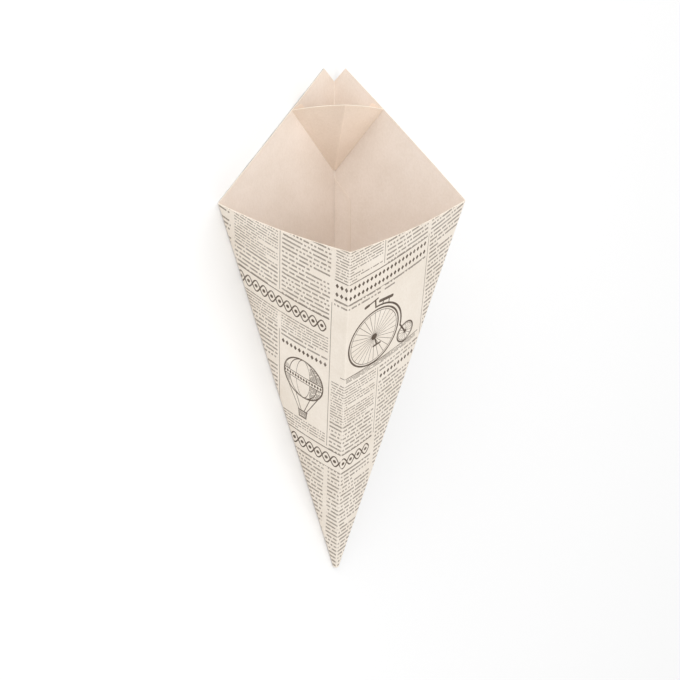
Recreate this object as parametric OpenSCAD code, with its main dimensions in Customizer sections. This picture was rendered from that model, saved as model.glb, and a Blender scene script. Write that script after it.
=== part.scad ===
// Paper food cone with a sauce pocket.
// One sheet of card is creased into four tapering walls and glued into a square cone along its back fold.
// The back walls rise to two peaks, and a creased panel across their corner makes the pocket.
// The cone lies on its left back wall, with its mouth towards +X and its tip towards -X.

/* [Card] */
// Thickness of the card
card = 0.4; // [0.3:0.05:0.8]

/* [Cone] */
// Angle at the tip between the two folds of one wall
wall_angle = 22.5; // [18:0.5:28]
// Length of the side and front folds, from the point where all the folds would meet
rim_reach = 246; // [180:1:320]
// Length trimmed off the tip, along a fold
tip_trim = 6; // [6:0.5:14]

/* [Back peaks] */
// Rise of the peaks beyond the rim, along the back fold
peak_rise = 49.5; // [40:0.5:70]
// Distance of each peak from the back fold
peak_offset = 8.6; // [5:0.2:14]
// Depth of the notch between the peaks
notch_depth = 8; // [4:0.5:14]

/* [Sauce pocket] */
// Depth of the pocket below the peaks, along the back fold
pocket_depth = 59; // [48:1:75]
// Length of each wall's rim that the pocket takes up, from the peak
pocket_side = 34.5; // [26:0.5:44]
// Length of the crease down the middle of the pocket's front
pocket_crease = 58; // [44:0.5:70]
// Angle by which that crease stands in front of the pocket's two corners
pocket_bow = 10; // [4:0.5:20]
// Width of the pocket's glue flanges
flange_width = 8; // [4:0.5:12]
// Gap between a flange's end and the rim
flange_setback = 3; // [1:0.5:8]

/* [Back seam] */
// Width of the glue flap inside the back fold
seam_width = 12; // [6:0.5:18]
// Distance of the flap's lower end from the trimmed tip
seam_start = 44; // [30:1:90]
// Gap between the flap's upper end and the pocket
seam_gap = 3; // [1:0.5:10]

/* [Hidden] */
paper = "#f0e6d6";

// Longer than the whole cone
span = 2 * (rim_reach + peak_rise);

// Standing on its tip, the cone has its back fold towards +Y and its side folds towards -X and +X.
// The folds lean and the walls tilt from its axis so that the four walls close into a square.
fold_lean = acos(sqrt(cos(wall_angle)));
wall_tilt = asin(tan(wall_angle / 2));
half_corner = (180 - acos(pow(tan(wall_angle / 2), 2))) / 2;

// Directions on the left back wall: up the back fold, across to the left fold, and into the cone
back_fold = [0, sin(fold_lean), cos(fold_lean)];
left_fold = [-sin(fold_lean), 0, cos(fold_lean)];
across_wall = (left_fold - cos(wall_angle) * back_fold) / sin(wall_angle);
into_cone = cross(back_fold, across_wall);

// A point of that wall's flat outline, measured up the back fold and across, at a depth into the cone
function on_wall(p, depth) = p.x * back_fold + p.y * across_wall + depth * into_cone;
function unit(v) = v / norm(v);
function side_view(p) = [p.y, p.z];
function front_view(p) = [p.x, p.z];
function opposite(p) = [-p.x, p.y, p.z];

rim_corner = rim_reach * [cos(wall_angle), sin(wall_angle)];
peak = [rim_reach + peak_rise, peak_offset];
notch = [peak.x - notch_depth, 0];
tip_height = tip_trim * cos(fold_lean);
rim_height = rim_reach * cos(fold_lean);

// The pocket's front is hinged on the walls, from the back fold's inner side to the rim
pocket_floor = [peak.x - pocket_depth, card / tan(half_corner)];
pocket_corner = peak + pocket_side * unit(rim_corner - peak);
hinge = pocket_corner - pocket_floor;
hinge_angle = atan2(hinge.y, hinge.x);
floor_point = on_wall(pocket_floor, card);
corner_point = on_wall(pocket_corner, card);

// Its middle crease leans forward from the axis, and its two halves sweep back from the crease
crease_lean = atan(tan(hinge_angle) * cos(half_corner)) + pocket_bow - fold_lean;
crease_end = floor_point + pocket_crease * [0, -sin(crease_lean), cos(crease_lean)];
corner_back = (corner_point - floor_point) * [0, cos(crease_lean), sin(crease_lean)];
sweep = atan2(corner_back, -corner_point.x);

// The lying cone's outer corners, and the middle of the floor that it covers
centre_line = unit(left_fold + back_fold);
sideways = unit([-1, -1, 0]);
peak_point = on_wall(peak, 0);
outer_corners = [
    peak_point,
    opposite(peak_point),
    rim_reach * left_fold,
    rim_reach * opposite(left_fold),
    rim_reach * [0, -back_fold.y, back_fold.z],
    tip_trim * left_fold,
    tip_trim * opposite(left_fold),
    tip_trim * [0, -back_fold.y, back_fold.z]
];
corner_x = [for (p = outer_corners) p * centre_line];
corner_y = [for (p = outer_corners) p * sideways];
footprint_middle = [(min(corner_x) + max(corner_x)) / 2, (min(corner_y) + max(corner_y)) / 2, 0];

// Solid square cone, with its walls moved in by a depth
module solid_cone(depth) {
    point = depth / sin(wall_tilt);
    spread = (span - point) * tan(wall_tilt);
    intersection_for (turn = [-45, 45])
        rotate([90, 0, turn])
            linear_extrude(span, center = true)
                polygon([[0, point], [spread, span], [-spread, span]]);
}

// Prism across the whole cone, from a profile in its side view
module across_cone() {
    rotate([90, 0, 90])
        linear_extrude(span, center = true)
            children();
}

// Lays a flat piece on the inner face of the left back wall, with its own X up the back fold,
// and lets it into the card a little so that the two are one
module glued_on_wall() {
    rotate([0, wall_tilt - 90, 135])
        rotate([0, 0, -wall_angle / 2])
            translate([0, 0, 0.6 * card])
                linear_extrude(1.4 * card)
                    children();
}

// The four walls, trimmed at the tip and the rim, with the notch between the peaks
module walls() {
    slope = side_view(peak_point) - [0, rim_height];
    notch_point = front_view(on_wall(notch, 0));
    notch_edge = front_view(peak_point) - notch_point;
    difference() {
        intersection() {
            difference() {
                solid_cone(0);
                solid_cone(card);
            }
            across_cone()
                polygon([
                    [-span, tip_height],
                    [span, tip_height],
                    [0, rim_height] + 2 * slope,
                    [0, rim_height],
                    [-span, rim_height]
                ]);
        }
        rotate([90, 0, 0])
            linear_extrude(span, center = true)
                polygon([notch_point, notch_point + 2 * notch_edge, notch_point + 2 * [-notch_edge.x, notch_edge.y]]);
    }
}

// Front of the pocket: one panel creased down its middle, let into both back walls
module pocket_panel() {
    arm = pocket_crease * [cos(sweep), sin(sweep)];
    other_arm = [-arm.x, arm.y];
    thickness = [0, card / cos(sweep)];
    top_edge = side_view(corner_point) - side_view(crease_end);
    top_front = side_view(crease_end) - top_edge;
    top_back = side_view(corner_point) + 3 * top_edge;
    intersection() {
        solid_cone(0.6 * card);
        translate(floor_point)
            rotate([crease_lean, 0, 0])
                linear_extrude(4 * pocket_crease, center = true)
                    polygon([[0, 0], arm, arm + thickness, thickness, other_arm + thickness, other_arm]);
        across_cone()
            polygon([top_front, top_back, [top_back.x, tip_height], [top_front.x, tip_height]]);
    }
}

// Glue flange of the pocket, on the left back wall inside the pocket and clear of the back fold
module pocket_flange() {
    intersection() {
        glued_on_wall()
            translate(pocket_floor)
                rotate(hinge_angle)
                    translate([0, -flange_width])
                        square([norm(hinge) - flange_setback, flange_width - card / 2]);
        translate([-span - 2 * card, -span / 2, 0])
            cube(span);
    }
}

// Glue flap that closes the cone, inside the back fold below the pocket
module seam_flap() {
    lower_end = tip_trim + seam_start;
    upper_end = pocket_floor.x - seam_gap;
    glued_on_wall()
        polygon([
            [lower_end, card / 2],
            [upper_end, card / 2],
            [upper_end - seam_width, seam_width],
            [lower_end + seam_width, seam_width]
        ]);
}

module fry_cone() {
    color(paper)
        translate(-footprint_middle)
            rotate([0, 90 - wall_tilt, 0])
                rotate([0, 0, -135])
                    union() {
                        walls();
                        pocket_panel();
                        pocket_flange();
                        mirror([1, 0, 0]) pocket_flange();
                        mirror([1, 0, 0]) seam_flap();
                    }
}

fry_cone();
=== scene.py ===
"""Paper food cone with a sauce pocket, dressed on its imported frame.

The cone is one sheet of card. Every point of it is worked out from its place in the flat blank, where the
folds are rays from the tip, so the print runs on across the folds as it does on the real sheet.
"""
import inspect
import math
from functools import partial, partialmethod, reduce

import bpy
import numpy as np
from bpy.props import FloatProperty, FloatVectorProperty, PointerProperty
from mathutils import Matrix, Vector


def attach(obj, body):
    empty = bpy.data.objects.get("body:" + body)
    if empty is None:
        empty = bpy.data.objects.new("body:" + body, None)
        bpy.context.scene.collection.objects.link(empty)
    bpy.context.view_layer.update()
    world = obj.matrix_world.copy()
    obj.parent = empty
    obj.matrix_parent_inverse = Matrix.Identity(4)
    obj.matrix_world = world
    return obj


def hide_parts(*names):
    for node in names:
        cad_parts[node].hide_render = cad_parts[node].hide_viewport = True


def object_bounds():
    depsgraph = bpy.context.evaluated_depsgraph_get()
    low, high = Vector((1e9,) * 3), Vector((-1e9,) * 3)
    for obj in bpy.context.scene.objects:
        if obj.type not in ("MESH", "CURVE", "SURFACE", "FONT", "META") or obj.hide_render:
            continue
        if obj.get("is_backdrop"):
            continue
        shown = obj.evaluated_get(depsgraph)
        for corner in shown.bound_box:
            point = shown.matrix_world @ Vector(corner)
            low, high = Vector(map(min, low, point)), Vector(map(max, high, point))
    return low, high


bl_info = {
    "name": "Paper Food Cone",
    "version": (1, 0, 0),
    "blender": (4, 5, 0),
    "location": "View3D > Sidebar > Paper Cone",
    "description": "Builds a printed paper cone with a sauce pocket from its flat blank",
    "category": "Mesh",
}

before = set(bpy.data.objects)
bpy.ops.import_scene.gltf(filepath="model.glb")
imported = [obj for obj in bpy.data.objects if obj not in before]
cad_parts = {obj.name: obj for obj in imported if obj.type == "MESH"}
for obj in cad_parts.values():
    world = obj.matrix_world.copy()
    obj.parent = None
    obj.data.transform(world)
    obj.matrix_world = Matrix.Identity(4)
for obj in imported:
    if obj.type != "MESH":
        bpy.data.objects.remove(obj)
CAD_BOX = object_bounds()


# Sizes and colours


def amount(name, default, description, **kind):
    """An amount that a user can set, of a kind such as a length."""
    return FloatProperty(name=name, description=description, default=default, **kind)


metres = partial(amount, precision=5, unit="LENGTH")
watts = partial(amount, unit="POWER")


def degrees(name, default, description):
    """An angle that a user can set, given here in degrees."""
    return amount(name, math.radians(default), description, subtype="ANGLE")


def tint(name, default, description):
    """A colour that a user can set."""
    return FloatVectorProperty(
        name=name, description=description, default=default, subtype="COLOR", min=0, max=1
    )


class ConeSizes(bpy.types.PropertyGroup):
    """Sizes of the folded card"""

    card: metres("Card", 0.0004, "Thickness of the card")
    wall_angle: degrees("Wall angle", 22.5, "Angle at the tip between the folds of one wall")
    rim_reach: metres("Rim reach", 0.246, "Length of the side and front folds from the tip")
    tip_trim: metres("Tip trim", 0.006, "Length trimmed off the tip along a fold")
    peak_rise: metres("Peak rise", 0.0495, "Rise of the back peaks beyond the rim")
    peak_offset: metres("Peak offset", 0.0086, "Distance of each peak from the back fold")
    notch_depth: metres("Notch depth", 0.008, "Depth of the notch between the peaks")
    fold_softness: metres("Fold softness", 0.0009, "Width of card that turns on each side of a fold")
    front_bow: metres("Front bow", 0.003, "How far the front walls swell out at the rim")
    back_bow: metres("Back bow", 0.0008, "How far the raised back wall swells out at the rim")
    floor_arch: metres("Floor arch", 0.0003, "How far the wall on the floor arches up at the rim")
    unevenness: metres("Unevenness", 0.0001, "Height of the slow waves in the walls off the floor")
    pocket_depth: metres("Pocket depth", 0.059, "Depth of the pocket below the peaks")
    pocket_side: metres("Pocket side", 0.0345, "Length of each back rim that the pocket takes up")
    pocket_crease: metres("Pocket crease", 0.058, "Length of the crease down the pocket's front")
    pocket_bow: degrees("Pocket bow", 10, "Angle by which the crease stands in front of the corners")
    pocket_sag: metres("Pocket sag", 0.0009, "How far the left half of the pocket's front sags")
    crease_shift: metres("Crease shift", 0.0037, "How far right of the middle the crease's top stands")
    edge_dip: metres("Edge dip", 0.0015, "How far the pocket's top edge dips at the crease")
    hinge_softness: metres("Hinge softness", 0.0004, "Width of card that turns beside the pocket's folds")
    flange_width: metres("Flange width", 0.008, "Width of the pocket's glue flanges")
    flange_setback: metres("Flange setback", 0.003, "Gap between a flange's end and the rim")
    seam_width: metres("Seam width", 0.012, "Width of the glue flap inside the back fold")
    seam_start: metres("Seam start", 0.044, "Distance of the flap's lower end from the trimmed tip")
    seam_gap: metres("Seam gap", 0.003, "Gap between the flap's upper end and the pocket")


class PaperColours(bpy.types.PropertyGroup):
    """Colours of the card and its print"""

    outside: tint("Outside", (0.887, 0.811, 0.717), "Cream of the printed side")
    inside: tint("Inside", (0.818, 0.723, 0.643), "Cream of the plain side")
    cut_edge: tint("Cut edge", (0.920, 0.850, 0.740), "Pale edge where the card is cut")
    # The pocket's cream is warmer than the plain side partly as a warmer side of the card and partly as painted warm
    # bounce light, as from food held in the pocket.
    pocket: tint("Pocket", (0.905, 0.772, 0.655), "Warmer cream of the pocket's front")
    ink: tint("Ink", (0.058, 0.030, 0.012), "Brown of the print")


class StageSettings(bpy.types.PropertyGroup):
    """Camera and light"""

    camera_distance: metres("Camera distance", 1.5185, "Distance of the camera from the point it looks at")
    camera_aim: metres("Camera aim", 0.15185, "Distance of that point from the tip, along the cone's axis")
    camera_turn: degrees("Camera turn", 4.17, "Turn of the camera about the cone's axis, from the front fold")
    camera_rise: degrees("Camera rise", 26, "Rise of the camera towards the mouth")
    camera_roll: degrees("Camera roll", 0.97, "Roll of the picture")
    camera_lens: amount("Camera lens", 143.74, "Focal length in millimetres")
    sky: amount("Sky", 0.67, "Strength of the even light from all round")
    top_light: watts("Top light", 10.5, "Power of the large light overhead")
    front_light: watts("Front light", 11.8, "Power of the light in front of the mouth")


# The folded sheet

# Walls in their order round the sheet, from the back fold
FLOOR_WALL, LEFT_FRONT, RIGHT_FRONT, RAISED_WALL = range(4)
# Power by which a wall's bow grows towards the rim
BOW_GROWTH = 1.4
# Slow waves in a wall: height, turn along it per metre, turn across it, and shift from wall to wall
WAVES = ((1.0, 31, 0, 1.9), (0.7, 57, -5, 1.0), (0.5, 97, 7, 2.3))
# Rate at which the waves grow from the tip, to their full height at two thirds of the rim's reach
WAVE_GROWTH = 1.5
# Reach in metres below which the folds get narrower
NARROW_FOLDS = 0.025
# Gap in metres between the back fold and what is glued beside it
GLUE_GAP = 0.0006
# Angle between two faces above which their edge is sharp
SHARP_EDGE = math.radians(45)


def unit(v):
    """v divided by its length."""
    v = np.asarray(v, float)
    return v / np.linalg.norm(v, axis=-1, keepdims=True)


def bend(start, corner, end, t):
    """Quadratic curve from start to end that heads for the corner: a soft fold."""
    return (1 - t) ** 2 * start + 2 * t * (1 - t) * corner + t**2 * end


class FoldedCone:
    """The cone as a folded sector: folds are rays from the tip, one wall angle apart in the sheet.

    Standing on its tip, the back fold leans by L towards +Y with cos(L)^2 = cos(wall angle), and the
    others follow every quarter turn. The lying frame has the two folds of the left back wall on the floor:
    its axes are the middle of those folds, the line across them and the way into the cone.
    """

    def __init__(self, s):
        self.s = s
        self.angle = a = s.wall_angle
        self.lean = math.acos(math.sqrt(math.cos(a)))
        side, rise = math.sin(self.lean), math.cos(self.lean)
        quarters = ((0, side), (-side, 0), (0, -side), (side, 0), (0, side))
        standing = np.array([[x, y, rise] for x, y in quarters])
        along, across = unit(standing[0] + standing[1]), unit([-1, -1, 0])
        self.lay = np.array([along, across, np.cross(along, across)])
        self.folds = standing @ self.lay.T
        self.inward = np.cross(self.folds[:-1], self.folds[1:]) / math.sin(a)
        self.bow = np.array([-s.floor_arch, s.front_bow, s.front_bow, s.back_bow])
        self.half_corner = (math.pi - math.acos(math.tan(a / 2) ** 2)) / 2

        self.rim_corner = s.rim_reach * np.array([math.cos(a), math.sin(a)])
        self.peak = np.array([s.rim_reach + s.peak_rise, s.peak_offset])
        self.peak_turn = math.atan2(self.peak[1], self.peak[0])
        self.notch = np.array([self.peak[0] - s.notch_depth, 0.0])
        self.pocket_floor = np.array([self.peak[0] - s.pocket_depth, s.card / math.tan(self.half_corner)])
        self.pocket_corner = self.peak + s.pocket_side * unit(self.rim_corner - self.peak)

        self.tip = np.zeros(3)
        corners = [reach * self.folds[1:4] for reach in (s.rim_reach, s.tip_trim)]
        corners.append(self.on_back(self.peak[None], np.array([FLOOR_WALL, RAISED_WALL]), flat=True))
        corners = np.concatenate(corners)
        self.tip = -np.array([*(corners.min(0) + corners.max(0))[:2] / 2, 0.0])

    def swell(self, wall, turn, reach):
        """How far a wall stands out of its plane: its bow and its slow waves, as half a sine across it."""
        share = np.clip(turn / self.angle, 0, 1)
        far = reach / self.s.rim_reach
        waves = sum(h * np.sin(up * reach + slant * share + shift * wall) for h, up, slant, shift in WAVES)
        waves = np.where(wall == FLOOR_WALL, 0.0, self.s.unevenness) * waves
        bow = self.bow[wall] * far**BOW_GROWTH
        return (bow + waves * np.clip(far * WAVE_GROWTH, 0, 1)) * np.sin(math.pi * share)

    def place(self, wall, turn, reach, depth=0.0, flat=False):
        """Points of a wall from their flat polar place: turn from its first fold and reach from the tip.

        A flat point between folds f and g is reach * (sin(angle - turn) f + sin(turn) g) / sin(angle).
        The wall then swells outwards, and depth moves the point into the cone.
        """
        wall, turn, reach = np.broadcast_arrays(wall, turn, reach)
        first = np.sin(self.angle - turn)[..., None] * self.folds[wall]
        second = np.sin(turn)[..., None] * self.folds[wall + 1]
        ray = (first + second) / math.sin(self.angle)
        swell = np.zeros(turn.shape) if flat else self.swell(wall, turn, reach)
        return self.tip + reach[..., None] * ray + (depth - swell)[..., None] * self.inward[wall]

    def on_back(self, flat_point, wall, depth=0.0, flat=False):
        """Points of a back wall from their flat place (up the back fold, across from it)."""
        flat_point = np.asarray(flat_point)
        turn = np.arctan2(flat_point[..., 1], flat_point[..., 0])
        reach = np.hypot(flat_point[..., 0], flat_point[..., 1])
        turn = np.where(np.asarray(wall) == FLOOR_WALL, turn, self.angle - turn)
        return self.place(wall, turn, reach, depth, flat)

    def straight_cut(self, start, end, turn):
        """Reach of a straight cut between two flat points, along the ray at a turn.

        With way = end - start, it is cross(start, way) / cross(ray, way).
        """
        way = end - start
        return (start[0] * way[1] - start[1] * way[0]) / (np.cos(turn) * way[1] - np.sin(turn) * way[0])

    def rim(self, heading):
        """Reach of the cut rim at a heading in the sheet.

        It is a chord on the front walls, and the slope, peak and notch on the back ones.
        """
        a = self.angle
        wall = np.clip(np.floor(heading / a), FLOOR_WALL, RAISED_WALL)
        turn = heading - wall * a
        front = self.s.rim_reach * math.cos(a / 2) / np.cos(turn - a / 2)
        turn = np.where(wall == RAISED_WALL, a - turn, turn)
        slope = self.straight_cut(self.rim_corner, self.peak, turn)
        notch = self.straight_cut(self.peak, self.notch, np.minimum(turn, self.peak_turn))
        back = np.where(turn > self.peak_turn, slope, notch)
        return np.where((wall == LEFT_FRONT) | (wall == RIGHT_FRONT), front, back)

    def softness(self, reach):
        """Angle in the sheet over which a fold turns on each side: a set width, narrower near the tip."""
        return self.s.fold_softness * np.minimum(1, reach / NARROW_FOLDS) / reach


def surface_normal(grid, closed):
    """Unit normals of a grid of points: the step across crossed with the step along."""
    if closed:
        across = np.roll(grid, -1, 1) - np.roll(grid, 1, 1)
    else:
        across = np.gradient(grid, axis=1)
    return unit(np.cross(across, np.gradient(grid, axis=0)))


def grid_quads(number):
    """Corners of a grid's squares, from the numbers of its points."""
    corners = number[:-1, :-1], number[:-1, 1:], number[1:, 1:], number[1:, :-1]
    return np.stack(corners, -1).reshape(-1, 4)


def card_quads(number, behind, closed):
    """Quads of a sheet of card from the numbers of its grid: faces, backs and cut edges.

    A point's back has its number plus behind. A closed grid is cut at its first and last rows only.
    """

    def cut(first, second):
        return np.stack([first, second, second + behind, first + behind], -1)

    cuts = [cut(number[-1, :-1], number[-1, 1:]), cut(number[0, 1:], number[0, :-1])]
    if not closed:
        cuts += [cut(number[:-1, 0], number[1:, 0]), cut(number[1:, -1], number[:-1, -1])]
    faces = grid_quads(number)
    return faces, faces[:, ::-1] + behind, np.concatenate(cuts)


def new_object(name, data):
    """An object in the scene."""
    item = bpy.data.objects.new(name, data)
    bpy.context.scene.collection.objects.link(item)
    return item


def card_piece(name, face, thickness, sheet, marks, materials, closed=False):
    """A closed sheet of card from a grid of points on its face: the back lies a thickness behind it.

    face is rows by columns. sheet holds each point's flat place, with one more column where the grid closes
    on itself. marks are named numbers kept on the points. Faces, backs and cut edges take the materials.
    """
    rows, columns = face.shape[:2]
    points = np.concatenate([face, face - thickness * surface_normal(face, closed)]).reshape(-1, 3)
    number = np.arange(rows * columns).reshape(rows, columns)
    if closed:
        number = np.concatenate([number, number[:, :1]], 1)
    parts = card_quads(number, rows * columns, closed)
    spot = np.arange(number.size).reshape(number.shape)
    flat = np.concatenate(card_quads(spot, 0, closed)).ravel()

    mesh = bpy.data.meshes.new(name)
    mesh.from_pydata(points.tolist(), [], np.concatenate(parts).tolist(), shade_flat=False)
    mesh.polygons.foreach_set("material_index", np.repeat([0, 1, 2], [len(part) for part in parts]))
    mesh.uv_layers.new(name="flat_sheet").data.foreach_set("uv", sheet.reshape(-1, 2)[flat].ravel())
    for mark, values in marks.items():
        mesh.attributes.new(mark, "FLOAT", "POINT").data.foreach_set("value", np.tile(values.ravel(), 2))
    mesh.set_sharp_from_angle(angle=SHARP_EDGE)
    if mesh.validate():
        raise RuntimeError(f"{name} has faulty faces")
    for material in materials:
        mesh.materials.append(material)
    piece = new_object(name, mesh)
    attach(piece, "root")
    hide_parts("fry_cone")


def wall_columns(cone, steps=30):
    """The columns round the sheet, in three rows: number of a wall or fold, share across it, and turn.

    A wall's columns have no turn, and the back walls have one at the peak. A fold's columns have a turn
    through it, between -1 on the wall before and 1 on the wall after.
    """
    turns = np.array([-2, -1, 0, 1, 2]) / 3
    soft = cone.softness(cone.peak[0])
    peak_share = (cone.peak_turn - soft) / (cone.angle - 2 * soft)
    even = np.linspace(0, 1, steps + 1)
    shares = {FLOOR_WALL: np.union1d(even, peak_share), RAISED_WALL: np.union1d(even, 1 - peak_share)}
    columns = [(FLOOR_WALL, 0.0, turn) for turn in turns[2:]]
    for wall in range(4):
        columns += [(wall, share, np.nan) for share in shares.get(wall, even)]
        columns += [(wall + 1, 0.0, turn) for turn in (turns[:2] if wall == RAISED_WALL else turns)]
    return np.array(columns).T


def build_walls(cone, materials, rows=150, rounds=4):
    """The four walls as one closed surface.

    The parameters are the column round the sheet and the share of the way from the trimmed tip to the rim.
    A column keeps its share between two soft folds, and inside a fold the card bends from one wall to the
    next. A column's heading and its ends depend on each other, and settle in a few rounds.
    """
    number, share, turn = wall_columns(cone)
    number = number.astype(int)
    in_fold = ~np.isnan(turn)
    turn = np.where(in_fold, turn, 0.0)
    a = cone.angle

    def heading(reach):
        soft = cone.softness(reach)
        return number * a + np.where(in_fold, turn * soft, soft + (a - 2 * soft) * share)

    top = np.full(number.shape, cone.s.rim_reach)
    low = np.full(number.shape, cone.s.tip_trim)
    for _ in range(rounds):
        top = cone.rim(heading(top))
        middle = (np.floor(heading(low) / a) + 0.5) * a
        low = cone.s.tip_trim * math.cos(a / 2) / np.cos(heading(low) - middle)
    reach = low + (top - low) * np.linspace(0, 1, rows)[:, None]
    way = heading(reach)

    wall = np.where(in_fold, 0, number)
    flat = cone.place(np.broadcast_to(wall, reach.shape), way - wall * a, reach)
    soft = cone.softness(reach)
    start = cone.place((number - 1) % 4, a - soft, reach)
    end = cone.place(number % 4, soft, reach)
    corner = cone.tip + reach[..., None] * cone.folds[number]
    folded = bend(start, corner, end, ((turn + 1) / 2)[None, :, None])
    face = np.where(in_fold[None, :, None], folded, flat)

    sheet_reach = np.concatenate([reach, reach[:, :1]], 1)
    sheet_way = np.concatenate([way, np.full((rows, 1), 4 * a)], 1) - 2 * a
    sheet = np.stack([sheet_reach * np.sin(sheet_way), sheet_reach * np.cos(sheet_way)], -1)
    marks = {
        "fold_gap": reach * np.abs(way - a * np.round(way / a)),
        "edge_gap": np.minimum(top - reach, reach - low),
    }
    card_piece("cone_walls", face, cone.s.card, sheet, marks, materials, closed=True)


def soft_lines(lines, softness, steps, turns=6):
    """A sheet through a row of lines: its grid, and each column's position among the lines.

    The sheet is straight between two lines. It bends at an inner one, from a set width before it to one
    after it, or a share of the panel if that is less.
    """
    most_of_panel = 0.35
    beside_fold, in_fold = 0.02, 0.015
    last = len(lines) - 2
    length = np.linalg.norm(np.diff(lines, axis=0), axis=-1)
    way = np.diff(lines, axis=0) / length[..., None]
    width = np.minimum(softness, most_of_panel * length)[..., None]
    columns, position = [], []
    for i in range(last + 1):
        start = lines[i] + (width[i] * way[i] if i else 0)
        end = lines[i + 1] - (width[i] * way[i] if i < last else 0)
        t = np.linspace(0, 1, steps[i] + 1)[:, None, None]
        columns.append(start + t * (end - start))
        position.append(i + np.linspace(beside_fold, 1 - beside_fold, steps[i] + 1))
        if i < last:
            t = np.linspace(0, 1, turns + 2)[1:-1, None, None]
            columns.append(bend(end, lines[i + 1], lines[i + 1] + width[i + 1] * way[i + 1], t))
            position.append(i + 1 + np.linspace(-in_fold, in_fold, turns))
    return np.concatenate(columns).transpose(1, 0, 2), np.concatenate(position)


def flange_edge(cone, hinge_flat, share):
    """Flat line of a glue flange's edge, square to its hinge.

    The flange is as wide as it is set to be or as the back fold leaves room for, and tapers at the rim.
    """
    room_used, narrowest, end_taper = 0.92, 0.0004, 0.08
    hinge = cone.pocket_corner - cone.pocket_floor
    way = unit(hinge)
    room = np.maximum(room_used * (hinge_flat[:, 1] - GLUE_GAP) / way[0], narrowest)
    taper = np.clip((1 - share) * np.linalg.norm(hinge) / cone.s.flange_setback, end_taper, 1)
    width = np.minimum(cone.s.flange_width * taper, room)
    return hinge_flat + width[:, None] * np.array([way[1], -way[0]])


def build_pocket(cone, materials, rows=60):
    """The pocket's front with its glue flanges, as one sheet through five lines that meet at its floor.

    The lines are a flange's edge, its hinge on the left back wall, the middle crease, and the same on the
    right. Each is the floor point plus the row's share of the way to the line's top. Each half of the front
    sags by half a sine across it, times the square of the row's share.
    """
    first_row, glue_depth, right_sag, hinge_spread, blank_place = 0.03, 0.9, 0.7, 1.6, 0.3
    s = cone.s
    share = np.linspace(first_row, 1, rows)
    hinge = cone.pocket_corner - cone.pocket_floor
    hinge_flat = cone.pocket_floor + share[:, None] * hinge
    flange_flat = flange_edge(cone, hinge_flat, share)

    hinge_angle = math.atan2(hinge[1], hinge[0])
    lean = math.atan(math.tan(hinge_angle) * math.cos(cone.half_corner)) + s.pocket_bow - cone.lean
    length = s.pocket_crease - s.edge_dip
    crease = np.array([s.crease_shift, -length * math.sin(lean), length * math.cos(lean)])
    depth = glue_depth * s.card
    lines = np.stack([
        cone.on_back(flange_flat, FLOOR_WALL, depth),
        cone.on_back(hinge_flat, FLOOR_WALL, depth),
        cone.on_back(cone.pocket_floor, FLOOR_WALL, s.card) + share[:, None] * (cone.lay @ crease),
        cone.on_back(hinge_flat, RAISED_WALL, depth),
        cone.on_back(flange_flat, RAISED_WALL, depth),
    ])
    middle, position = soft_lines(lines, s.hinge_softness, (6, 24, 24, 6))
    half = np.abs(position - 2)
    sag = s.pocket_sag * np.sin(math.pi * np.clip(half, 0, 1)) * np.where(position < 2, 1.0, right_sag)
    normal = surface_normal(middle, False)
    middle = middle - (sag * share[:, None] ** 2)[..., None] * normal

    across = np.linalg.norm(np.diff(middle, axis=1, prepend=middle[:, :1]), axis=-1).cumsum(1)
    across -= across[:, across.shape[1] // 2, None]
    up = np.broadcast_to(s.pocket_crease * share[:, None], across.shape)
    hinge_gap = hinge_spread * np.linalg.norm(hinge) * share[:, None] * np.abs(half - 1)
    # The pale fold line follows the crease and both hinges; along the hinges it is a painted highlight that lightens
    # the corners' shade.
    marks = {"fold_gap": np.minimum(np.abs(across), hinge_gap), "edge_gap": s.pocket_crease - up}
    sheet = np.stack([across, blank_place + up], -1)
    card_piece("pocket_front", middle + 0.5 * s.card * normal, s.card, sheet, marks, materials)


def build_seam(cone, materials, rows=70, columns=10):
    """The glue flap inside the back fold: a strip of the raised back wall, one card further in.

    Its ends slant: they draw in by as much as the strip has gone across.
    """
    inner_face, thickness, clear_of_folds = 1.95, 0.9, 0.01
    s = cone.s
    across = np.linspace(GLUE_GAP, s.seam_width, columns)[None, :]
    low = s.tip_trim + s.seam_start + across
    high = cone.pocket_floor[0] - s.seam_gap - across
    along = low + (high - low) * np.linspace(0, 1, rows)[:, None]
    flat = np.stack([along, np.broadcast_to(across, along.shape)], -1)
    face = cone.on_back(flat, RAISED_WALL, inner_face * s.card)
    end_gap = np.minimum(along - low, high - along)
    marks = {
        "fold_gap": np.full(along.shape, clear_of_folds),
        "edge_gap": np.minimum(s.seam_width - across, end_gap),
    }
    card_piece("seam_flap", face, thickness * s.card, flat, marks, materials)


# Sums for the materials


def feed(node, inputs):
    """Links a node's inputs to values, or sets them to numbers and colours."""
    for slot, term in inputs.items():
        if isinstance(term, Value):
            node.id_data.links.new(term.socket, node.inputs[slot])
        else:
            node.inputs[slot].default_value = term


def add_node(tree, kind, inputs, output=0, **settings):
    """Places a shader node with its settings and inputs, and returns one output as a value."""
    node = tree.nodes.new("ShaderNode" + kind)
    for name, setting in settings.items():
        setattr(node, name, setting)
    feed(node, inputs)
    return Value(node.outputs[output])


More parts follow.
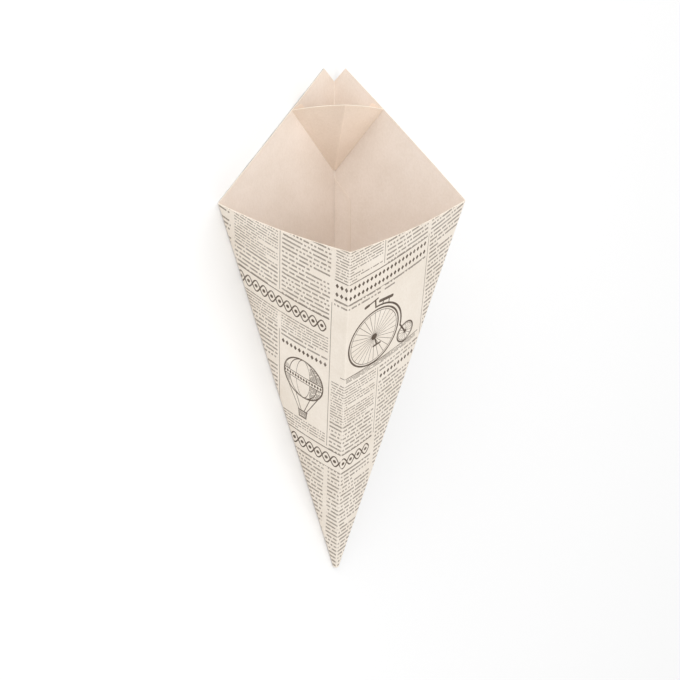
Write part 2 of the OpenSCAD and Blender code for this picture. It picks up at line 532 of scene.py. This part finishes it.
class Value:
    """A number, place or colour that varies over the surface. A sum on it puts nodes in its tree."""

    def __init__(self, socket):
        self.socket = socket
        self.tree = socket.id_data

    def math(self, operation, *terms):
        return add_node(self.tree, "Math", dict(enumerate((self, *terms))), operation=operation)

    __add__ = partialmethod(math, "ADD")
    __sub__ = partialmethod(math, "SUBTRACT")
    __mul__ = partialmethod(math, "MULTIPLY")
    __truediv__ = partialmethod(math, "DIVIDE")
    floor = partialmethod(math, "FLOOR")
    size = partialmethod(math, "ABSOLUTE")
    sine = partialmethod(math, "SINE")
    root = partialmethod(math, "SQRT")
    most = partialmethod(math, "MAXIMUM")
    least = partialmethod(math, "MINIMUM")

    def flipped(self):
        """One minus the number."""
        return self.math("MULTIPLY_ADD", -1.0, 1.0)

    def off_middle(self):
        """Distance from the middle of the whole step that the number is in, from -0.5 to 0.5."""
        return self - self.floor() - 0.5

    def above(self, edge, blur):
        """1 above the edge and 0 below it, smooth over the blur on each side."""
        limits = {"Value": self, "From Min": edge - blur, "From Max": edge + blur}
        return add_node(self.tree, "MapRange", limits, "Result", interpolation_type="SMOOTHSTEP")

    def below(self, edge, blur):
        return self.above(edge, blur).flipped()

    def chance(self):
        """An even random number from 0 to 1 for each key."""
        return add_node(self.tree, "TexWhiteNoise", {"W": self}, "Value", noise_dimensions="1D")

    def noise(self, scale=1.0, detail=0.0, roughness=0.5):
        """Smooth noise from 0 to 1 over a place."""
        inputs = {"Vector": self, "Scale": scale, "Detail": detail, "Roughness": roughness}
        return add_node(self.tree, "TexNoise", inputs, "Fac")

    def split(self):
        """X and Y of a place."""
        outputs = add_node(self.tree, "SeparateXYZ", {0: self}).socket.node.outputs
        return Value(outputs["X"]), Value(outputs["Y"])

    def blend(self, first, second):
        """Colour mixed from the first to the second by this share, on the Mix node's colour sockets."""
        first_colour, second_colour, mixed_colour = 6, 7, 2
        inputs = {"Factor": self, first_colour: first, second_colour: second}
        return add_node(self.tree, "Mix", inputs, mixed_colour, data_type="RGBA")


def join(x, y, z=0.0):
    """A place from three values."""
    return add_node(x.tree, "CombineXYZ", {0: x, 1: y, 2: z})


def far_off(x, y):
    """Length of a step: the root of the sum of its squares."""
    return (x * x + y * y).root()


def any_of(masks):
    """The most of several masks."""
    return reduce(Value.most, masks)


def make_group(effect):
    """A shader node group from a function of a place and sizes that returns its outputs by name.

    The group has the function's name, and its inputs have the names and defaults of the parameters.
    """
    tree = bpy.data.node_groups.new(effect.__name__, "ShaderNodeTree")
    parameters = inspect.signature(effect).parameters
    for name, parameter in parameters.items():
        kind = "NodeSocketVector" if name == "place" else "NodeSocketFloat"
        socket = tree.interface.new_socket(name, in_out="INPUT", socket_type=kind)
        if name != "place":
            socket.default_value = parameter.default
    entry, leave = tree.nodes.new("NodeGroupInput"), tree.nodes.new("NodeGroupOutput")
    outputs = effect(*(Value(entry.outputs[name]) for name in parameters))
    for name in outputs:
        tree.interface.new_socket(name, in_out="OUTPUT", socket_type="NodeSocketFloat")
    feed(leave, outputs)


def use_group(effect, place, **sizes):
    """Places an effect's group with its own values and returns its outputs by name."""
    node = place.tree.nodes.new("ShaderNodeGroup")
    node.node_tree = bpy.data.node_groups[effect.__name__]
    feed(node, {"place": place, **sizes})
    return {output.name: Value(output) for output in node.outputs}


# Effects of the paper, from a place in metres


def paper_fibre(place):
    """Cloudy tone and fine fibre height: noise as clouds, as grain and drawn out into slanting fibres."""
    cloud = place.noise(scale=38, detail=3, roughness=0.6)
    fine = place.noise(scale=900, detail=2, roughness=0.6)
    drawn_out = {"Vector": place, "Scale": (420, 1500, 800), "Rotation": (0.3, 0.5, 0.4)}
    fibre = add_node(place.tree, "Mapping", drawn_out).noise(detail=2, roughness=0.55)
    return {"Tone": cloud * 0.5 + fine * 0.25 + fibre * 0.25, "Height": fibre * 0.55 + fine * 0.45}


def fold_wear(place, gap=0.0, width=0.0008):
    """A pale line along each fold, broken up by noise, from the gap to the fold: worn card, and along the pocket's
    hinges a painted highlight.
    """
    least_wear = 0.35
    patchy = place.noise(scale=260, detail=2).above(0.45, blur=0.16)
    line = (gap / width).below(0.75, blur=0.6)
    return {"Wear": line * (patchy * (1 - least_wear) + least_wear)}


# Effects of the print, from a place in millimetres

# Blurs at the edge of a stroke, of fine work and of a block, and of a choice by chance
PEN_BLUR, FINE_BLUR, BLOCK_BLUR, NO_BLUR = 0.07, 0.06, 0.05, 0.0001
FULL_TURN = 2 * math.pi
# Width of a column with the gutter at its right, and of the gutter
COLUMN, GUTTER = 36.0, 3.0
MARGIN = GUTTER / 2


def printed_rows(place, row=3.0, cell=2.4, seed=0.0):
    """Rows of plain dashes that stand for print, with no letters in them.

    A row is cut into equal cells from a start of its own, and by chance a space stands between two of them.
    A dash has rounded ends, ragged edges and grainy ink. Some rows end early.
    """
    row_key, column_key, boundary_key, key_spread = 7.31, 19.7, 1.37, 3.1
    early_rows, most_bare, bare_fall = 0.12, 0.8, 5.5
    spaces, half_space, end_round, half_height = 0.45, 0.19, 0.06, 0.2
    ragged, least_ink, grain_ink = 0.7, 0.38, 0.7
    dash_blur, body_blur = 0.08, 0.12
    x, y = place.split()
    column_number, row_number = (x / COLUMN).floor(), (y / row).floor()
    across, up = x - column_number * COLUMN, y / row - row_number
    key = row_number * row_key + column_number * column_key + seed
    luck = key.chance()
    bare = luck.below(early_rows, NO_BLUR) * (luck * -bare_fall + most_bare)
    end = bare.flipped() * (COLUMN - GUTTER)
    step = across / cell + luck
    boundary = (step + 0.5).floor()
    grain = join(step * 3.4, up * 2.6 + row_number * 5.3, seed).noise(detail=1.0)
    height = (up - 0.5) / half_height
    spaced = (boundary * boundary_key + key * key_spread).chance().below(spaces, NO_BLUR)
    past_space = (step - boundary).size() * cell - (height * height * end_round + half_space) * cell
    dash = spaced.flipped().most(past_space.above(0.0, dash_blur))
    body = (height.size() - (grain - 0.5) * ragged).below(1.0, body_blur)
    return {"Ink": body * dash * (across - end).below(0.0, dash_blur) * (grain * grain_ink + least_ink)}


def pen_line(place, x1=0.0, y1=0.0, x2=1.0, y2=0.0, line=0.5):
    """A straight stroke: the gap to the nearest point between its two ends."""
    x, y = place.split()
    px, py = x - x1, y - y1
    bx, by = x2 - x1, y2 - y1
    share = ((px * bx + py * by) / (bx * bx + by * by)).most(0.0).least(1.0)
    gap = far_off(px - share * bx, py - share * by)
    return {"Ink": (gap - line * 0.5).below(0.0, PEN_BLUR)}


def pen_ring(place, x=0.0, y=0.0, radius=5.0, squeeze=1.0, line=0.5):
    """A ring, round or squeezed across: the gap to its radius, and what is inside it."""
    at_x, at_y = place.split()
    gap = far_off((at_x - x) / squeeze, at_y - y) - radius
    return {"Ink": (gap.size() - line * 0.5).below(0.0, PEN_BLUR), "Inside": gap.below(0.0, PEN_BLUR)}


def pen_spokes(place, x=0.0, y=0.0, inner=1.0, outer=5.0, count=20.0, line=0.3):
    """A wheel's spokes between two radii: the gap to the middle of a spoke's share of the turn."""
    at_x, at_y = place.split()
    dx, dy = at_x - x, at_y - y
    far = far_off(dx, dy)
    turn = dy.math("ARCTAN2", dx) * count / FULL_TURN
    gap = turn.off_middle().size() * far * FULL_TURN / count
    band = (far - inner).above(0.0, BLOCK_BLUR) * (far - outer).below(0.0, BLOCK_BLUR)
    return {"Ink": (gap - line * 0.5).below(0.0, FINE_BLUR) * band}


def pen_star(place, x=0.0, y=0.0, outer=5.0, inner=1.0, count=4.0, start=0.0, line=0.45):
    """A straight-sided star with one side of each arm inked.

    Its edge runs from an arm's point, at the outer reach, to the valley half an arm's angle h on, at the
    inner reach. At an angle t off the arm it is outer inner sin(h) / (outer sin(t) + inner sin(h - t)) from
    the middle.
    """
    side_blur = 0.01
    at_x, at_y = place.split()
    dx, dy = at_x - x, at_y - y
    turn = dy.math("ARCTAN2", dx) * count / FULL_TURN + start
    side = turn - (turn + 0.5).floor()
    half_arm = count.math("POWER", -1.0) * math.pi
    off_arm = side.size() * half_arm * 2.0
    edge = outer * inner * half_arm.sine() / (outer * off_arm.sine() + inner * (half_arm - off_arm).sine())
    gap = far_off(dx, dy) - edge
    inside = gap.below(0.0, FINE_BLUR)
    outline = (gap + line).above(0.0, FINE_BLUR)
    return {"Ink": inside * side.above(0.0, side_blur).most(outline), "Inside": inside}


def print_block(place, x1=0.0, y1=0.0, x2=1.0, y2=1.0):
    """What lies inside a box, given by two corners."""
    x, y = place.split()
    across = (x - x1).above(0.0, BLOCK_BLUR) * (x - x2).below(0.0, BLOCK_BLUR)
    return {"Inside": across * (y - y1).above(0.0, BLOCK_BLUR) * (y - y2).below(0.0, BLOCK_BLUR)}


def pen_hatch(place, pitch=0.9, line=0.35, slope=0.0):
    """Slanting parallel strokes, broken up by noise along each."""
    x, y = place.split()
    count = (y + x * slope) / pitch
    gap = count.off_middle().size() * pitch
    patchy = join(x * 0.5, count.floor() * 3.7).noise().above(0.36, blur=0.06)
    return {"Ink": (gap - line * 0.5).below(0.0, FINE_BLUR) * patchy}


def chain_band(place, height=12.0, link=6.0, swing=3.7, line=0.85, bead=1.15):
    """Ornament band: a chain of two crossing waves with a bead in each link.

    A wave's height is its swing times sin(pi x / link), and the gap to it is divided by sqrt(1 + slope^2),
    which keeps the strand even.
    """
    x, y = place.split()
    links = x / link
    up = (y / height).off_middle() * height
    aside = links.off_middle() * link
    wave = (links * math.pi).sine() * swing
    slope = (links * math.pi).math("COSINE") * swing * math.pi / link
    strand = (up - wave).size().least((up + wave).size()) / (slope * slope + 1.0).root()
    beads = (far_off(aside, up) - bead).below(0.0, PEN_BLUR)
    return {"Ink": (strand - line * 0.5).below(0.0, PEN_BLUR).most(beads)}


def lozenge_rows(place, row=6.0, pitch=3.0, tall=1.7, wide=1.1):
    """Ornament band: rows of lozenges, where |x| / half width + |y| / half height is under 1."""
    lozenge_blur = 0.08
    x, y = place.split()
    up = (y / row).off_middle().size() * row / tall
    aside = (x / pitch).off_middle().size() * pitch / wide
    return {"Ink": (up + aside).below(1.0, lozenge_blur)}


# The page

# Places on the page: first column, number of columns, and foot and head from the tip. They end on whole
# rows of both sizes.
PICTURES = ((0, 2, 150, 204), (-1, 1, 108, 156), (3, 1, 174, 216))
FINE_TEXT = (
    (-2, 2, 168, 180), (0, 1, 120, 150), (-1, 1, 96, 108), (0, 1, 222, 252),
    (-2, 1, 210, 246), (-4, 1, 120, 156), (4, 1, 174, 210),
)
CHAINS = ((-2, 2, 180, 192), (-1, 2, 84, 96), (-5, 2, 168, 180), (2, 2, 132, 144))
LOZENGES = ((0, 2, 210, 222), (-1, 1, 156, 162), (1, 1, 138, 144), (-5, 2, 192, 204), (4, 2, 162, 168))
# Upright rules: the column that each stands before, its foot and its head
COLUMN_RULES = (
    (-3, 100, 164), (-1, 99, 166), (-1, 195, 240), (0, 99, 206), (1, 99, 149),
    (1, 225, 246), (2, 146, 224), (3, 147, 216), (4, 147, 216),
)


def between(at, x1, y1, x2, y2):
    """Two points, measured from another, as an effect takes them."""
    return {"x1": at[0] + x1, "y1": at[1] + y1, "x2": at[0] + x2, "y2": at[1] + y2}


class Page:
    """The print's page of columns, on which effects are drawn."""

    def __init__(self, place):
        self.place = place

    def draw(self, effect, at=None, output="Ink", **sizes):
        """One output of an effect, about a point if it has one."""
        if at:
            sizes.update(x=at[0], y=at[1])
        return use_group(effect, self.place, **sizes)[output]

    def blocks(self, *boxes, at=(0.0, 0.0)):
        """Boxes between two corners each, measured from a point."""
        return any_of([self.draw(print_block, output="Inside", **between(at, *box)) for box in boxes])

    def lines(self, *strokes, at=(0.0, 0.0)):
        """Straight strokes, each from its two ends, measured from a point, and its width."""
        return any_of([self.draw(pen_line, **between(at, *ends), line=line) for *ends, line in strokes])

    def rings(self, at, *sizes):
        """Rings about a point, each from its radius and its width."""
        return any_of([self.draw(pen_ring, at, radius=radius, line=line) for radius, line in sizes])

    def sides(self, first, count):
        """Left and right sides of a place, from its first column and its number of columns."""
        return first * COLUMN, (first + count) * COLUMN - GUTTER

    def places(self, *places, inset=0.0):
        """Places on the page, less an inset at both sides."""
        boxes = []
        for first, count, foot, head in places:
            left, right = self.sides(first, count)
            boxes.append((left + inset, foot, right - inset, head))
        return self.blocks(*boxes)


def draw_bicycle(page):
    """High-wheel bicycle on the right front wall, measured from the hub of its high wheel."""
    hub = (30.0, 174.6)
    rear_step = (26.0, -12.4)
    rear = (hub[0] + rear_step[0], hub[1] + rear_step[1])
    backbone_part = page.blocks((0.0, -4.0, 50.0, 55.4), at=hub)
    shadow = page.blocks((-20.0, -23.4, 36.0, -20.0), at=hub)
    return any_of([
        page.rings(hub, (19.0, 1.1), (17.5, 0.4), (1.3, 1.7)),
        page.draw(pen_spokes, hub, inner=2.0, outer=17.6, count=26, line=0.28),
        page.rings(rear, (6.6, 1.0), (5.6, 0.3), (0.7, 1.0)),
        page.draw(pen_spokes, rear, inner=1.0, outer=5.6, count=14, line=0.26),
        page.rings(hub, (21.4, 1.2)) * backbone_part,
        page.lines(
            (20.9, -4.0, *rear_step, 1.1),  # foot of the backbone
            (0.0, 21.2, -0.6, 26.6, 1.1),  # head
            (-7.5, 25.4, 1.2, 27.2, 1.0),  # handlebar
            (-7.8, 25.3, -5.6, 25.7, 1.9),  # grip
            (3.2, 24.2, 12.5, 22.6, 2.2),  # saddle
            (6.0, 23.6, 5.0, 20.4, 0.7),  # front stay of the saddle
            (10.4, 23.0, 10.0, 19.0, 0.7),  # rear stay
            (0.0, 0.0, 2.4, -6.8, 0.9),  # crank
            (-0.2, -7.0, 5.0, -7.0, 1.3),  # pedal
            (-24.0, -19.6, 38.0, -19.6, 0.5),  # ground
            at=hub,
        ),
        page.draw(pen_hatch, pitch=0.95, line=0.42, slope=0.05) * shadow,
    ])


def draw_balloon(page):
    """Gas balloon on the left front wall, measured from the middle of its ball."""
    ball, radius = (-19.5, 139.0), 14.0
    belt_foot, belt_head, belt_edge = -2.2, 1.4, 0.2
    basket_rim, basket_foot = -24.6, -29.4
    inside = page.draw(pen_ring, ball, "Inside", radius=13.6)
    belt = inside * page.blocks((-20.0, belt_foot, 20.0, belt_head), at=ball)
    off_belt = belt.flipped()
    right_shade = page.blocks((4.6, -19.0, 20.0, 11.0), at=ball) * off_belt
    left_shade = page.blocks((-20.0, -19.0, -9.8, 5.0), at=ball) * off_belt
    belt_edges = [(-radius, y, radius, y, 0.5) for y in (belt_foot - belt_edge, belt_head + belt_edge)]
    weave = page.blocks((-2.8, basket_foot, 2.8, basket_rim - 0.2), at=ball)
    basket = [(-3.2, basket_rim, 3.2, basket_rim, 0.9), (-2.5, basket_foot, 2.5, basket_foot, 0.8)]
    for side in (-1, 1):
        basket += [
            (side * 11.4, -8.2, side * 2.6, basket_rim, 0.5),  # outer rope
            (side * 5.2, -13.0, side * 1.0, basket_rim, 0.45),  # inner rope
            (side * 3.0, basket_rim, side * 2.5, basket_foot, 0.6),  # side of the basket
        ]
    return any_of([
        page.rings(ball, (radius, 0.9)),
        page.draw(pen_ring, ball, radius=radius, line=0.65, squeeze=0.36) * off_belt,
        page.draw(pen_ring, ball, radius=radius, line=0.6, squeeze=0.72) * off_belt,
        page.draw(pen_hatch, pitch=0.95, line=0.5) * inside * right_shade,
        page.draw(pen_hatch, pitch=0.95, line=0.36) * inside * left_shade,
        page.lines(*belt_edges, at=ball) * inside,
        page.draw(lozenge_rows, row=3.6, pitch=2.0, tall=1.3, wide=0.85) * belt,
        page.lines(*basket, at=ball),
        page.draw(pen_hatch, pitch=0.8, line=0.45, slope=0.3) * weave,
    ])


def draw_compass(page):
    """Compass star on the raised back wall: four long arms before four short ones and a ring with ticks."""
    middle = (124.5, 195.0)
    ring_outer, ring_inner = 11.4, 9.9
    long_arms = {"outer": 15.6, "inner": 3.0}
    behind = any_of([
        page.rings(middle, (ring_outer, 0.8), (ring_inner, 0.35)),
        page.draw(pen_spokes, middle, inner=ring_inner, outer=ring_outer, count=48, line=0.35),
        page.draw(pen_star, middle, outer=9.2, inner=3.2, start=0.5),
    ])
    behind = behind * page.draw(pen_star, middle, "Inside", **long_arms).flipped()
    return behind.most(page.draw(pen_star, middle, **long_arms))


def page_rules(page):
    """Thin and thick rules below and above the wide ornament bands, and thin ones between the columns."""
    thin, thick, gap = 0.35, 0.7, 1.0
    rules = []
    for first, count, foot, head in (*CHAINS, LOZENGES[0]):
        left, right = page.sides(first, count)
        rules.append((left, foot - gap, right, foot - gap, thin))
        rules.append((left, head + gap, right, head + gap, thick))
    for first, foot, head in COLUMN_RULES:
        middle = first * COLUMN - MARGIN
        rules.append((middle, foot, middle, head, thin))
    return page.lines(*rules)


def sheet_print(place):
    """The whole sheet's print, with the front fold up the middle.

    Columns of rows cover the sheet, with finer rows, ornament bands, rules and line drawings in their
    places. The chain's links are centred over two columns.
    """
    fold_in_column = 9.0
    row_ink, rule_ink = 0.94, 0.9
    x, y = place.split()
    page = Page(join(x + fold_in_column, y))
    links = use_group(chain_band, join(x + (fold_in_column - MARGIN), y))["Ink"]
    fine = page.places(*FINE_TEXT)

    def sized(plain, small):
        return fine * (small - plain) + plain

    rows = page.draw(printed_rows, row=sized(3.0, 2.0), cell=sized(2.4, 1.75), seed=sized(3.0, 8.0))
    ink = any_of([
        rows * row_ink * page.places(*CHAINS, *LOZENGES, *PICTURES).flipped(),
        page_rules(page) * rule_ink,
        links * page.places(*CHAINS, inset=MARGIN),
        page.draw(lozenge_rows) * page.places(*LOZENGES),
        draw_bicycle(page),
        draw_balloon(page),
        draw_compass(page),
    ])
    patches = page.place.noise(scale=0.11, detail=3, roughness=0.6)
    specks = page.place.noise(scale=3.0, detail=1)
    return {"Ink": ink * (patches * 0.5 + specks * 0.5).above(0.33, blur=0.17)}


# Finishes

EFFECTS = (
    paper_fibre, fold_wear, printed_rows, pen_line, pen_ring, pen_spokes, pen_star, print_block, pen_hatch,
    chain_band, lozenge_rows, sheet_print,
)


def shaded(colour, factors):
    """A colour with each channel times its own factor, at most 1, in the form that a socket takes."""
    return (*(min(1.0, channel * factor) for channel, factor in zip(colour, factors)), 1.0)


def new_material(name):
    """Makes a material, and returns its shader and the place on the object."""
    material = bpy.data.materials.new(name)
    material.use_nodes = True
    tree = material.node_tree
    return tree.nodes["Principled BSDF"], add_node(tree, "TexCoord", {}, "Object")


def paper_material(name, colour, ink=None, rough=0.62, tone=0.10):
    """Uncoated card: fibre in tone and height, pale folds that are worn and, at the pocket's hinges, a painted
    highlight, soft darker edges, and print if inked.
    """
    darker, paler = (0.8, 1.0, 1.25), (0.35, 0.4, 0.5)
    handled_tint, worn_tint = (0.93, 0.88, 0.80), (1.07, 1.07, 1.07)
    handled_width, handled_share, worn_share = 0.002, 0.35, 0.5
    rough_spread, ink_cover, ink_worn_off, ink_gloss = 0.16, 0.96, 0.7, 0.10
    relief_strength, relief_height, specular = 0.28, 0.00012, 0.28
    millimetres = 1000.0

    shader, place = new_material(name)
    tree = place.tree
    fibre = use_group(paper_fibre, place)
    fold_gap = add_node(tree, "Attribute", {}, "Fac", attribute_name="fold_gap")
    edge_gap = add_node(tree, "Attribute", {}, "Fac", attribute_name="edge_gap")
    wear = use_group(fold_wear, place, gap=fold_gap)["Wear"]
    handled = edge_gap.below(handled_width, blur=handled_width) * handled_share

    dark = shaded(colour, [1 - tone * share for share in darker])
    pale = shaded(colour, [1 + tone * share for share in paler])
    skin = fibre["Tone"].above(0.5, blur=0.22).blend(dark, pale)
    skin = (handled * fibre["Tone"]).blend(skin, shaded(colour, handled_tint))
    roughness = fibre["Tone"] * rough_spread + (rough - rough_spread / 2)
    if ink:
        sheet = add_node(tree, "UVMap", {}, uv_map="flat_sheet")
        sheet = add_node(tree, "VectorMath", {0: sheet, "Scale": millimetres}, operation="SCALE")
        inked = use_group(sheet_print, sheet)["Ink"] * (wear * ink_worn_off).flipped()
        skin = (inked * ink_cover).blend(skin, (*ink, 1.0))
        roughness = roughness - inked * ink_gloss
    # Pale folds: worn card, and a painted highlight along the pocket's hinges.
    skin = (wear * worn_share).blend(skin, shaded(colour, worn_tint))
    heights = {"Strength": relief_strength, "Distance": relief_height, "Height": fibre["Height"]}
    relief = add_node(tree, "Bump", heights)
    surface = {"Base Color": skin, "Roughness": roughness, "Normal": relief, "Specular IOR Level": specular}
    feed(shader, surface)


def finishes(*names):
    """Finishes by name. The first call makes them all: printed side, plain side, pocket and cut edge. The pocket's
    warmer cream is partly a warmer side of the card and partly painted warm bounce light.
    """
    if "printed_card" not in bpy.data.materials:
        for effect in EFFECTS:
            make_group(effect)
        colours = bpy.context.scene.cone_colours
        paper_material("printed_card", colours.outside, ink=tuple(colours.ink))
        paper_material("plain_card", colours.inside, rough=0.66)
        # The pocket's finish: the same card, made warmer partly by painted warm bounce light
        paper_material("pocket_card", colours.pocket, rough=0.66)
        paper_material("cut_card", colours.cut_edge, rough=0.8, tone=0.16)
    return [bpy.data.materials[name] for name in names]


# Stage

LIGHT_AIM = (0.0, 0.0, 0.05)
LIGHT_SIZE = 1.3
LIGHT_PLACES = {"top_light": (0.0, 0.0, 1.65), "front_light": (1.32, 0.76, 0.62)}
FLOOR_COLOUR = (0.93, 0.93, 0.93)
# Gap in metres that keeps the floor's face clear of the cone's
FLOOR_GAP = 0.0003
# Shift of the picture, in shares of its width
PICTURE_SHIFT = (0.0003, 0.0018)
SENSOR_WIDTH = 36


def floor_material():
    """Pale matt floor with a faint unevenness in its tone."""
    faint_shade = (0.985, 0.985, 0.985)
    shader, place = new_material("pale_floor")
    tone = place.noise(scale=1.5, detail=2).blend((*FLOOR_COLOUR, 1.0), shaded(FLOOR_COLOUR, faint_shade))
    feed(shader, {"Base Color": tone, "Roughness": 0.9, "Specular IOR Level": 0.1})
    return bpy.data.materials["pale_floor"]


def build_floor(half=5.0, steps=24):
    """A flat grid just under the cone."""
    x, y = np.meshgrid(np.linspace(-half, half, steps), np.linspace(-half, half, steps))
    points = np.stack([x, y, np.full(x.shape, -FLOOR_GAP)], -1).reshape(-1, 3)
    faces = grid_quads(np.arange(steps * steps).reshape(steps, steps))
    mesh = bpy.data.meshes.new("floor")
    mesh.from_pydata(points.tolist(), [], faces.tolist())
    mesh.materials.append(floor_material())
    floor = new_object("floor", mesh)
    floor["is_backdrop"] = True


def look_from(place, aim, up):
    """Matrix of a camera or light at a place that looks at a point, with its top towards up."""
    back = unit(np.asarray(place) - np.asarray(aim))
    right = unit(np.cross(up, back))
    turn = np.stack([right, np.cross(back, right), back], 1)
    return Matrix([[*turn[i], place[i]] for i in range(3)] + [[0, 0, 0, 1]])


def build_camera(cone, stage):
    """The camera, set in the standing cone's terms: turned about its axis, raised to the mouth and rolled.

    With turn t and rise e, the way to the camera is (-sin t cos e, -cos t cos e, sin e), and the picture's
    top is (sin t sin e, cos t sin e, cos e) turned by the roll.
    """
    t, e, roll = stage.camera_turn, stage.camera_rise, stage.camera_roll
    back = np.array([-math.sin(t) * math.cos(e), -math.cos(t) * math.cos(e), math.sin(e)])
    right = np.array([math.cos(t), -math.sin(t), 0])
    top = np.array([math.sin(t) * math.sin(e), math.cos(t) * math.sin(e), math.cos(e)])
    up = cone.lay @ (top * math.cos(roll) - right * math.sin(roll))
    aim = cone.tip + cone.lay @ np.array([0, 0, stage.camera_aim])
    camera = bpy.data.cameras.new("camera")
    camera.lens = stage.camera_lens
    camera.sensor_width = SENSOR_WIDTH
    camera.shift_x, camera.shift_y = PICTURE_SHIFT
    camera.clip_end = 50
    eye = new_object("camera", camera)
    eye.matrix_world = look_from(aim + stage.camera_distance * (cone.lay @ back), aim, up)
    bpy.context.scene.camera = eye


def build_lights(stage):
    """Even light from all round, with large square lights overhead and in front of the mouth."""
    world = bpy.data.worlds.new("studio")
    world.use_nodes = True
    feed(world.node_tree.nodes["Background"], {"Color": (1, 1, 1, 1), "Strength": stage.sky})
    bpy.context.scene.world = world
    for name, place in LIGHT_PLACES.items():
        light = bpy.data.lights.new(name, "AREA")
        light.size = LIGHT_SIZE
        light.energy = getattr(stage, name)
        new_object(name, light).matrix_world = look_from(place, LIGHT_AIM, (1, 0, 0))


# Operators and panel


class CONE_OT_walls(bpy.types.Operator):
    """Make the four printed walls as one folded sheet"""

    bl_idname = "paper_cone.walls"
    bl_label = "Folded Walls"

    def execute(self, context):
        build_walls(FoldedCone(context.scene.cone_sizes), finishes("printed_card", "plain_card", "cut_card"))
        return {"FINISHED"}


class CONE_OT_pocket(bpy.types.Operator):
    """Make the creased front of the sauce pocket with its glue flanges"""

    bl_idname = "paper_cone.pocket"
    bl_label = "Sauce Pocket"

    def execute(self, context):
        build_pocket(FoldedCone(context.scene.cone_sizes), finishes("pocket_card", "pocket_card", "cut_card"))
        return {"FINISHED"}


class CONE_OT_seam(bpy.types.Operator):
    """Make the glue flap inside the back fold"""

    bl_idname = "paper_cone.seam"
    bl_label = "Seam Flap"

    def execute(self, context):
        build_seam(FoldedCone(context.scene.cone_sizes), finishes("plain_card", "plain_card", "plain_card"))
        return {"FINISHED"}


class CONE_OT_stage(bpy.types.Operator):
    """Lay the pale floor and set up the soft light and the camera"""

    bl_idname = "paper_cone.stage"
    bl_label = "Stage"

    def execute(self, context):
        stage = context.scene.cone_stage
        build_floor()
        build_lights(stage)
        build_camera(FoldedCone(context.scene.cone_sizes), stage)
        context.scene.view_settings.view_transform = "Standard"
        return {"FINISHED"}


class CONE_PT_panel(bpy.types.Panel):
    """Lists the cone's sizes, colours and steps"""

    bl_idname = "CONE_PT_panel"
    bl_label = "Paper Food Cone"
    bl_space_type = "VIEW_3D"
    bl_region_type = "UI"
    bl_category = "Paper Cone"

    def draw(self, context):
        for group in (context.scene.cone_sizes, context.scene.cone_colours, context.scene.cone_stage):
            box = self.layout.box()
            for name in group.__annotations__:
                box.prop(group, name)
        for step in STEPS:
            self.layout.operator(step.bl_idname)


GROUPS = {"cone_sizes": ConeSizes, "cone_colours": PaperColours, "cone_stage": StageSettings}
STEPS = (CONE_OT_walls, CONE_OT_pocket, CONE_OT_seam, CONE_OT_stage)


def register():
    for cls in (*GROUPS.values(), *STEPS, CONE_PT_panel):
        bpy.utils.register_class(cls)
    for name, group in GROUPS.items():
        setattr(bpy.types.Scene, name, PointerProperty(type=group))


def unregister():
    for name in GROUPS:
        delattr(bpy.types.Scene, name)
    for cls in (CONE_PT_panel, *reversed(STEPS), *reversed(GROUPS.values())):
        bpy.utils.unregister_class(cls)


def main():
    register()
    bpy.ops.paper_cone.walls()
    bpy.ops.paper_cone.pocket()
    bpy.ops.paper_cone.seam()
    bpy.ops.paper_cone.stage()
    boxes = {"cad": [list(map(float, c)) for c in CAD_BOX], "visual": [list(map(float, c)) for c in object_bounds()]}


if __name__ == "__main__":
    main()
